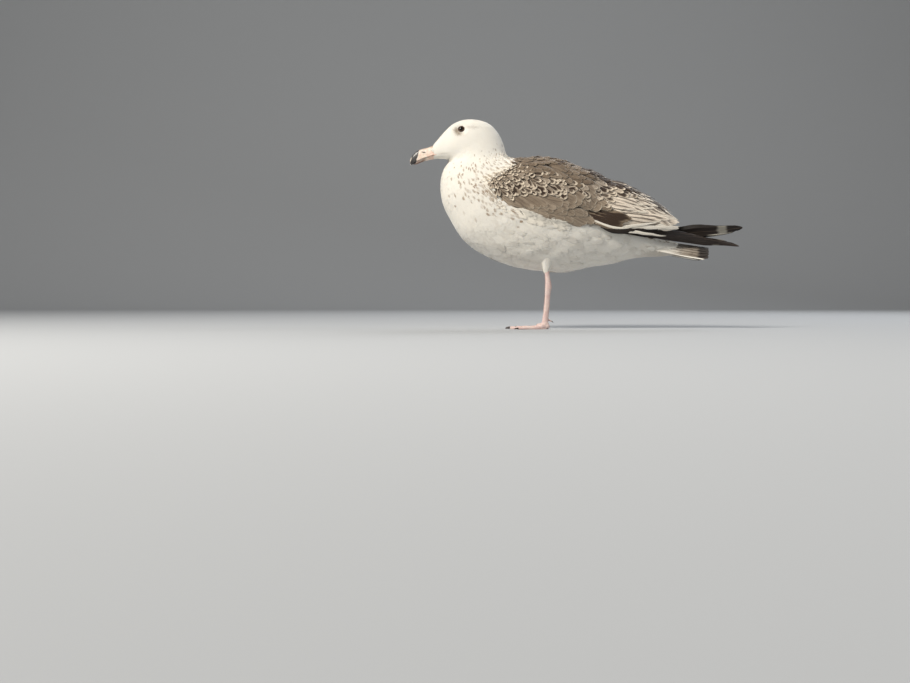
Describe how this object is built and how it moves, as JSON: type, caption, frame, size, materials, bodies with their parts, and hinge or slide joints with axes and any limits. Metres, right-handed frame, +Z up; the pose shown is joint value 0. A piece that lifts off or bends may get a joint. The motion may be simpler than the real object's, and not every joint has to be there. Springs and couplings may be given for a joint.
{
  "type": "seagull",
  "caption": "Standing immature large gull, life size: pale head and breast, mottled brown folded wings crossed over the tail, webbed feet flat on the ground.",
  "frame": {"origin": "on the ground, under the middle of the box round the bird", "axes": "the bird faces -Y, its left side is +X, +Z is up"},
  "size_m": [0.1364, 0.5394, 0.3394],
  "materials": {
    "feathers": "soft body feathers, white to cream with small brown spots on the neck and breast",
    "wing_feathers": "grey-brown feathers with pale edges",
    "primaries": "dark flight feathers with a slight sheen",
    "horn": "satin horn, pinkish with a black band and a pale tip",
    "leg_skin": "scaly flesh-pink skin",
    "claw": "satin dark horn",
    "eye": "wet, dark brown"
  },
  "bodies": {
    "root": {"bill_lower": "horn", "bill_upper": "horn", "claw_left_hind": "claw", "claw_left_inner": "claw", "claw_left_middle": "claw", "claw_left_outer": "claw", "claw_right_hind": "claw", "claw_right_inner": "claw", "claw_right_middle": "claw", "claw_right_outer": "claw", "eye_left": "eye", "eye_right": "eye", "foot_left": "leg_skin", "foot_right": "leg_skin", "head": "feathers", "hind_toe_left": "leg_skin", "hind_toe_right": "leg_skin", "neck": "feathers", "shin_left": "leg_skin", "shin_right": "leg_skin", "tail": "feathers", "tarsus_left": "leg_skin", "tarsus_right": "leg_skin", "thigh_left": "feathers", "thigh_right": "feathers", "trunk": "feathers", "wing_left_coverts": "wing_feathers", "wing_left_primaries": "primaries", "wing_left_tertials": "wing_feathers", "wing_right_coverts": "wing_feathers", "wing_right_primaries": "primaries", "wing_right_tertials": "wing_feathers"}
  },
  "joints": []
}
